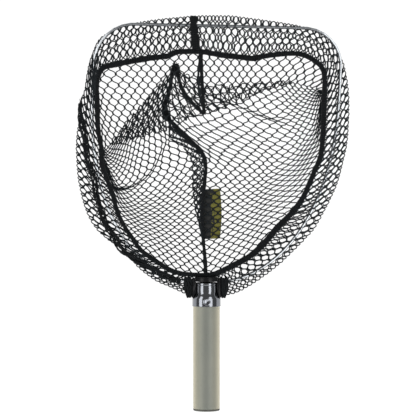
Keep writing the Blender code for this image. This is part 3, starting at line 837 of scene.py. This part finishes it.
def makeHem():
    # its ends overlap just past the yoke
    start, end = [(0.7, 7.9, hoopZ), (-6.0, 7.7, hoopZ)], [(6.0, 7.7, hoopZ), (0.2, 8.0, hoopZ)]
    inside = [(p.x, p.y, hoopZ) for p in hemLine[12:-12:4]]
    path = throughPoints(start + inside + end, 900)

    def widths(share):
        swell = sum(size * smooth((share - begins) / run) for begins, run, size in hem["swells"])
        return hem["width"] + swell + sum(size * math.sin(share * wave) for wave, size in hem["waves"])

    makeBand("hemBand", "hem_binding", bandLines(path, hem, 31, widths))


topSeam = {
    "halfWidth": 3.7,
    "halfDepth": 1.5,
    "pitch": 1.15,
    "above": 2.5,
    "widths": (0.86, 0.34, 0.08),
}
underSeam = {
    "halfWidth": 3.7,
    "halfDepth": 1.2,
    "pitch": 1.61,
    "below": 2.6,
}


def makeTopSeam():
    # a strip round the collar, over the top layer and back under the lower one
    centre = [(-12.3, 261.5), (-12.6, 252.0), (-11.4, 241.0), (-10.0, 228.5)]
    over = throughPoints([(x, y, hoopZ + topSeam["above"]) for x, y in centre], 120)
    under = throughPoints([(x, y, hoopZ - underSeam["below"]) for x, y in centre], 120)
    narrow, grow, wave = topSeam["widths"]
    lines = bandLines(over, topSeam, 41, lambda share: narrow + grow * share + wave * math.sin(share * 21))
    makeBand("topSeamBand", "seam_top", lines + bandLines(under, underSeam, 42))


# thickPlaces: x, y, how much wider the seam is there, and over what share of it
centreSeam = {
    "halfWidth": 1.55,
    "halfDepth": 1.05,
    "pitch": 1.1,
    "above": 0.9,
    "wave": 0.14,
    "thickPlaces": [(-30.2, 214.0, 0.65, 0.04), (-41.0, 168.5, 1.2, 0.016), (-20.0, 143.5, 0.75, 0.05)],
}


def makeCentreSeam():
    # follows the first column of the bag through all three layers of the fold
    column = foldedColumn(-1, 0.0)
    path = throughPoints([(p.x, p.y, z + centreSeam["above"]) for p, z, row in column][::3]
                         + [(-0.5, 8.6, hoopZ - 1.0)], 700)
    thick = [(nearestShare(path, x, y), size, run) for x, y, size, run in centreSeam["thickPlaces"]]

    def widths(share):
        swell = sum(size * math.exp(-((share - middle) / run) ** 2) for middle, size, run in thick)
        return 1.0 + swell + centreSeam["wave"] * math.sin(share * 60)

    makeBand("centreSeamBand", "seam_bag", bandLines(path, centreSeam, 51, widths))


# the rolled edge on the left, with frayed tufts where it starts
roll = {
    "yarns": 15,
    "halfWidth": 3.0,
    "halfDepth": 1.7,
    "above": 4.0,
    "step": 1.5,
    "twist": 0.01625,
    "yarn": 0.46,
    "sides": 5,
    "thickness": (0.8, 1.3),
    "raggedStart": 0.018,
    "tufts": 26,
    "roughness": 0.22,
}
rollPoints = [(-123.0, 179.0), (-123.1, 160.0), (-119.8, 149.0), (-117.7, 135.4), (-116.2, 122.6),
              (-113.3, 111.8), (-109.4, 99.1), (-108.0, 85.3), (-104.5, 76.5), (-100.9, 65.7),
              (-96.6, 54.9), (-90.7, 46.1), (-86.8, 37.3), (-80.9, 30.4), (-72.1, 25.5), (-63.3, 19.6),
              (-53.5, 13.7), (-44.0, 9.0), (-33.0, 4.5), (-24.0, 1.0)]


def rollYarn(path, run, rng):
    phase = rng.uniform(0, 6.28)
    out = math.sqrt(rng.uniform(0.08, 1.0))
    rate = roll["twist"] * rng.uniform(0.7, 1.4)
    start = rng.uniform(0.0, roll["raggedStart"])
    steps = int(run / roll["step"])
    line = []
    for step in range(steps):
        share = start + (1 - start) * step / steps
        here = along(path, share)
        ahead = (along(path, share + 0.006) - along(path, share - 0.006)).normalized()
        side = ahead.cross(Vector((0, 0, 1))).normalized()
        angle = phase + rate * 2 * math.pi * share * run
        grow = 0.55 + 0.45 * smooth(share * 9) + 0.12 * math.sin(share * 40 + phase)
        a = math.cos(angle) * roll["halfWidth"] * out * grow + rng.uniform(-1, 1) * roll["roughness"]
        z = math.sin(angle) * roll["halfDepth"] * out * grow
        spot = at(here.x + side.x * a, here.y + side.y * a, here.z + z)
        line.append((spot, rng.uniform(*roll["thickness"])))
    return line


def makeRoll():
    rng = random.Random(61)
    path = throughPoints([(x, y, hoopZ + roll["above"]) for x, y in rollPoints], 500)
    run = runOf(path)
    lines = [rollYarn(path, run, rng) for yarn in range(roll["yarns"])]
    for tuft in range(roll["tufts"]):
        base = along(path, rng.uniform(0.0, 0.03))
        lean = rng.uniform(-1.9, 1.9)
        tip = Vector((base.x + lean, base.y + rng.uniform(1.5, 5.0), base.z + rng.uniform(-1, 1)))
        lines.append([(at(*base.lerp(tip, t)), 0.8 - 0.3 * t) for t in (0.0, 0.35, 0.7, 1.0)])
    makeStrands("rolledEdge", "side_roll", lines, roll["yarn"], roll["sides"], seamYarn)


# netting gathered beside the ferrule
gather = {
    "loops": 30,
    "points": 40,
    "stride": 0.19,
    "yarn": 0.5,
    "sides": 5,
    "thickness": (0.8, 1.3),
    "rates": (0.5, 1.9),
    "sizes": (0.6, 1.0),
    "taper": 0.34,
    "lean": 0.34,
}


def makeGather(name, node, centre, reach, seed):
    # netting bunched so tightly that its yarns wander through one another
    rng = random.Random(seed)
    inward = -math.copysign(1.0, centre[0])
    lines = []
    for loop in range(gather["loops"]):
        rates = [rng.uniform(*gather["rates"]) for k in range(3)]
        phases = [rng.uniform(0, 6.28) for k in range(3)]
        size = rng.uniform(*gather["sizes"])
        line = []
        for step in range(gather["points"]):
            angle = step * gather["stride"]
            bend = [math.sin(rate * angle + phase) * size for rate, phase in zip(rates, phases)]
            # full at the top, drawn in and leaning to the ferrule at the bottom
            low = smooth(-bend[1])
            slim = 0.78 + 0.22 * math.sqrt(max(0.0, 1 - bend[1] ** 2)) - gather["taper"] * low
            lean = inward * gather["lean"] * reach[0] * low
            spot = at(centre[0] + lean + bend[0] * reach[0] * slim, centre[1] + bend[1] * reach[1],
                      centre[2] + bend[2] * reach[2] * slim)
            line.append((spot, rng.uniform(*gather["thickness"])))
        lines.append(line)
    makeStrands(name, node, lines, gather["yarn"], gather["sides"], seamYarn)


makeHem()
makeTopSeam()
makeCentreSeam()
makeRoll()
makeGather("gatherLeft", "gather_left", (-18.4, -4.2, hoopZ), (3.9, 10.2, 4.4), 71)
makeGather("gatherRight", "gather_right", (17.9, -4.6, hoopZ), (3.3, 9.8, 4.4), 72)
print("seams and gathers made")


def shadeTurned(data, sharp):
    data.shade_smooth()
    data.set_sharp_from_angle(angle=math.radians(sharp))


# turned pieces on the handle's axis
def turnedPiece(name, profile, sides, material, sharp):
    # profile is a closed outline of (radius, y) in millimetres
    mesh = bmesh.new()
    turns = [2 * math.pi * k / sides for k in range(sides)]
    rings = []
    for radius, y in profile:
        ring = [at(radius * math.cos(turn), y, hoopZ + radius * math.sin(turn)) for turn in turns]
        rings.append([mesh.verts.new(spot) for spot in ring])
    for a, b in zip(rings, rings[1:] + rings[:1]):
        for k in range(sides):
            j = (k + 1) % sides
            mesh.faces.new((a[k], a[j], b[j], b[k]))
    bmesh.ops.remove_doubles(mesh, verts=mesh.verts, dist=1e-7)
    bmesh.ops.recalc_face_normals(mesh, faces=mesh.faces)
    data = bpy.data.meshes.new(name)
    mesh.to_mesh(data)
    mesh.free()
    data.materials.append(material)
    shadeTurned(data, sharp)
    return addObject(name, data)


# neckSteps: places down the neck, and whether they are in its groove
ferrule = {
    "sides": 144,
    "mouth": 6.2,
    "neck": 10.95,
    "skirt": 14.0,
    "swell": 0.15,
    "wall": 0.7,
    "slack": 0.1,
    "top": 1.0,
    "topWall": 0.8,
    "round": 1.8,
    "groove": 0.22,
    "neckSteps": [(-1.1, 0), (-1.7, 0), (-1.9, 1), (-2.3, 1), (-2.5, 0), (-2.7, 0), (-6.9, 0)],
    "flareTop": -7.2,
    "flareEnd": -15.9,
    "lipTop": -21.2,
    "end": -22.6,
    "sharp": 50.0,
}
dimple = {
    "x": 0.5,
    "y": -17.8,
    "radius": 2.7,
    "depth": 0.75,
    "edge": 1.35,
    "rimAt": 1.05,
    "rimWidth": 0.18,
    "rimHeight": 0.16,
    "patch": (6.5, 6.0),
    "above": 10.0,
}


def ferruleOutline():
    f = ferrule
    skirt = f["skirt"] - f["swell"]
    points = [(f["mouth"], f["top"])]
    for k in range(9):
        turn = math.radians(90 * k / 8)
        radius = f["neck"] - f["round"] * (1 - math.sin(turn))
        points.append((radius, f["top"] - f["round"] * (1 - math.cos(turn))))
    points += [(f["neck"] - f["groove"] * cut, y) for y, cut in f["neckSteps"]]
    for k in range(19):
        t = k / 18
        radius = f["neck"] + (skirt - f["neck"]) * smooth(t)
        points.append((radius, f["flareTop"] + (f["flareEnd"] - f["flareTop"]) * t))
    for k in range(7):
        points.append((skirt, f["flareEnd"] + (f["lipTop"] - f["flareEnd"]) * k / 6))
    points += [(f["skirt"], f["end"] + 0.9), (f["skirt"], f["end"] + 0.3), (f["skirt"] - 0.3, f["end"])]
    inner = f["wall"] + f["slack"]
    underTop = f["top"] - f["topWall"]
    points += [(f["skirt"] - inner, f["end"]), (f["skirt"] - inner, f["flareEnd"])]
    points += [(f["neck"] - inner, f["flareTop"]), (f["neck"] - inner, underTop), (f["mouth"], underTop)]
    return points


def punchDimple(data):
    # the punch mark that holds the ferrule on the tube
    middle = at(dimple["x"], dimple["y"], 0)
    wide, tall = dimple["patch"]
    floor = (hoopZ + dimple["above"]) / 1000

    def onPatch(spot):
        aside, ahead = abs(spot.x - middle.x) * 1000, abs(spot.y - middle.y) * 1000
        return aside < wide and ahead < tall and spot.z > floor

    mesh = bmesh.new()
    mesh.from_mesh(data)
    near = [edge for edge in mesh.edges if all(onPatch(vert.co) for vert in edge.verts)]
    bmesh.ops.subdivide_edges(mesh, edges=near, cuts=3, use_grid_fill=True)
    for vert in mesh.verts:
        far = math.hypot(vert.co.x - middle.x, vert.co.y - middle.y) * 1000 / dimple["radius"]
        if vert.co.z > floor and far < dimple["edge"]:
            rim = dimple["rimHeight"] * math.exp(-((far - dimple["rimAt"]) / dimple["rimWidth"]) ** 2)
            inward = Vector((axisX - vert.co.x, 0, axisZ - vert.co.z)).normalized()
            vert.co += inward * (dimple["depth"] * smooth(1 - far) - rim) / 1000
    mesh.to_mesh(data)
    mesh.free()


def makeFerrule():
    piece = turnedPiece("ferruleShell", ferruleOutline(), ferrule["sides"], chrome, ferrule["sharp"])
    punchDimple(piece.data)
    shadeTurned(piece.data, ferrule["sharp"])
    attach(piece, "handle")
    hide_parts("ferrule")


handle = {
    "radius": 13.0,
    "wall": 1.2,
    "top": -16.5,
    "butt": -122.9,
    "edge": 0.35,
    "sides": 128,
    "rings": 24,
    "sharp": 40.0,
}


def makeHandle():
    h = handle
    inner = h["radius"] - h["wall"]
    profile = [(h["radius"] - h["edge"], h["top"]), (h["radius"], h["top"] - h["edge"])]
    for k in range(1, h["rings"]):
        profile.append((h["radius"], h["top"] + (h["butt"] - h["top"]) * k / h["rings"]))
    profile += [(h["radius"], h["butt"] + h["edge"]), (h["radius"] - h["edge"], h["butt"])]
    profile += [(inner, h["butt"]), (inner, h["top"])]
    tube = turnedPiece("handleTube", profile, h["sides"], makeTubePaint(), h["sharp"])
    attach(tube, "handle")
    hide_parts("handle_tube")


def dressCad(node, material):
    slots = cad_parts[node].data.materials
    if len(slots):
        slots[0] = material
    else:
        slots.append(material)


def makeYoke():
    # the moulded yoke keeps its working shape, with smooth shading round its curves
    mesh = bmesh.new()
    mesh.from_mesh(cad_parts["yoke"].data)
    bmesh.ops.remove_doubles(mesh, verts=mesh.verts, dist=2e-6)
    data = bpy.data.meshes.new("yokeMoulding")
    mesh.to_mesh(data)
    mesh.free()
    data.materials.clear()
    black = makeMoulded("glossBlack", (0.004, 0.004, 0.005), (0.009, 0.009, 0.010), 0.26, 0.42)
    data.materials.append(black)
    shadeTurned(data, 38.0)
    piece = addObject("yokeMoulding", data)
    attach(piece, "head")
    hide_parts("yoke")


makeFerrule()
makeHandle()
makeYoke()
dressCad("hoop_wire", makeWireSteel())
dressCad("handle_end_plug", makeMoulded("plugPlastic", (0.10, 0.10, 0.09), (0.16, 0.16, 0.14), 0.5, 0.7))
dressCad("head_stud", makeTurnedMetal("studSteel", (0.35, 0.35, 0.36), (0.62, 0.62, 0.63)))
dressCad("threaded_insert", makeTurnedMetal("insertBrass", (0.50, 0.36, 0.14), (0.80, 0.62, 0.30)))
dressCad("lock_washer", makeMoulded("washerRubber", (0.02, 0.02, 0.02), (0.05, 0.05, 0.05), 0.6, 0.8))
print("ferrule, handle and yoke made")


# woven label, held under the centre seam and lying below the netting
label = {
    "left": -4.6,
    "low": 42.7,
    "width": 18.0,
    "length": 49.3,
    "z": 0.55,
    "curl": 0.35,
    "bulge": 1.6,
    "slope": 0.8,
    "cellsAcross": 26,
    "cellsUp": 72,
}


def makeLabelCloth():
    material, nodes, links, shader = newMaterial("labelCloth", 0.75)
    coords = nodes.new("ShaderNodeUVMap")
    coords.uv_map = "labelMap"
    weave = nodes.new("ShaderNodeTexBrick")
    setInputs(weave, {"Scale": 60.0, "Mortar Size": 0.03, "Mortar": (0.08, 0.075, 0.012, 1),
                      "Color1": (0.22, 0.205, 0.028, 1), "Color2": (0.17, 0.16, 0.022, 1)})
    links.new(coords.outputs["UV"], weave.inputs["Vector"])
    # a plain dark panel with broken edges, on the side of the seam
    split = nodes.new("ShaderNodeSeparateXYZ")
    links.new(coords.outputs["UV"], split.inputs["Vector"])
    blotch = noiseNode(nodes, links, coords.outputs["UV"], 7.0, 2.0)
    edge = nodes.new("ShaderNodeMath")
    edge.operation = "MULTIPLY_ADD"
    edge.inputs[1].default_value = 0.9
    links.new(blotch.outputs["Fac"], edge.inputs[0])
    links.new(split.outputs["X"], edge.inputs[2])
    panel = rampNode(nodes, links, edge.outputs["Value"], [(0.97, (1, 1, 1)), (1.0, (0, 0, 0))])
    mix = nodes.new("ShaderNodeMix")
    mix.data_type = "RGBA"
    mix.inputs["B"].default_value = (0.012, 0.013, 0.012, 1)
    links.new(panel.outputs["Color"], mix.inputs["Factor"])
    links.new(weave.outputs["Color"], mix.inputs["A"])
    links.new(mix.outputs["Result"], shader.inputs["Base Color"])
    bumpNode(nodes, links, weave.outputs["Fac"], shader, 0.3, 0.0001)
    return material


def makeLabel():
    wide, tall = label["cellsAcross"], label["cellsUp"]
    verts, faces, uvs = [], [], []
    for row in range(tall + 1):
        for column in range(wide + 1):
            a, b = column / wide, row / tall
            curl = label["curl"] * math.sin(math.pi * a) * math.sin(2.2 * b + 0.4)
            x = label["left"] + label["width"] * a + label["bulge"] * math.sin(math.pi * b)
            y = label["low"] + label["length"] * b + label["slope"] * a
            verts.append(at(x, y, label["z"] + curl))
            uvs.append((a, b))
    for row in range(tall):
        for column in range(wide):
            k = row * (wide + 1) + column
            faces.append((k, k + 1, k + wide + 2, k + wide + 1))
    data = bpy.data.meshes.new("wovenLabel")
    data.from_pydata(verts, [], faces)
    layer = data.uv_layers.new(name="labelMap")
    for loop in data.loops:
        layer.data[loop.index].uv = uvs[loop.vertex_index]
    data.materials.append(makeLabelCloth())
    data.shade_smooth()
    piece = addObject("wovenLabel", data)
    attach(piece, "head")
    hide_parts("label")


makeLabel()
print("label made")


# floor, light and camera
studio = {
    "floorPaint": 0.15,
    "floorGlow": 0.95,
    "floorReach": 3.0,
    "floorLevel": -0.0005,
    "airGlow": 0.20,
    "lens": 140.0,
    "centre": (1.5, 73.6),
    "height": 1.586,
    "boxDistance": 1.2,
}
# each soft box: direction from the net, width and length in metres, power in watts
softBoxes = [("softLeft", (-0.743, 0.0, 0.669), 0.55, 2.0, 8.6),
             ("softRight", (0.595, 0.0, 0.804), 0.50, 2.0, 8.6),
             ("softButt", (0.0, -0.62, 0.785), 0.9, 0.45, 2.4)]


def makeFloor():
    material, nodes, links, shader = newMaterial("paleFloor", 0.9)
    paint = (studio["floorPaint"],) * 3 + (1,)
    setInputs(shader, {"Base Color": paint, "Specular IOR Level": 0.0, "Emission Color": (1, 1, 1, 1),
                       "Emission Strength": studio["floorGlow"]})
    mesh = bpy.data.meshes.new("paleFloor")
    reach = studio["floorReach"]
    corners = [(-reach, -reach), (reach, -reach), (reach, reach), (-reach, reach)]
    mesh.from_pydata([(x, y, studio["floorLevel"]) for x, y in corners], [], [(0, 1, 2, 3)])
    mesh.materials.append(material)
    floor = addObject("paleFloor", mesh)


def makeLights():
    world = bpy.data.worlds.new("studioAir")
    world.use_nodes = True
    setInputs(world.node_tree.nodes["Background"], {"Color": (1, 1, 1, 1), "Strength": studio["airGlow"]})
    bpy.context.scene.world = world
    for name, aim, width, length, power in softBoxes:
        lamp = bpy.data.lights.new(name, "AREA")
        lamp.shape = "RECTANGLE"
        lamp.size = width
        lamp.size_y = length
        lamp.energy = power
        item = addObject(name, lamp)
        item.location = Vector(aim) * studio["boxDistance"]
        tip = -math.atan2(aim[1], math.hypot(aim[0], aim[2]))
        item.rotation_euler = (tip, math.atan2(aim[0], aim[2]), 0.0)


def makeCamera():
    lens = bpy.data.cameras.new("topCamera")
    lens.lens = studio["lens"]
    camera = addObject("topCamera", lens)
    spot = at(*studio["centre"], hoopZ)
    camera.location = (spot.x, spot.y, spot.z + studio["height"])
    bpy.context.scene.camera = camera
    bpy.context.scene.view_settings.view_transform = "Standard"


makeFloor()
makeLights()
makeCamera()
print("studio set")
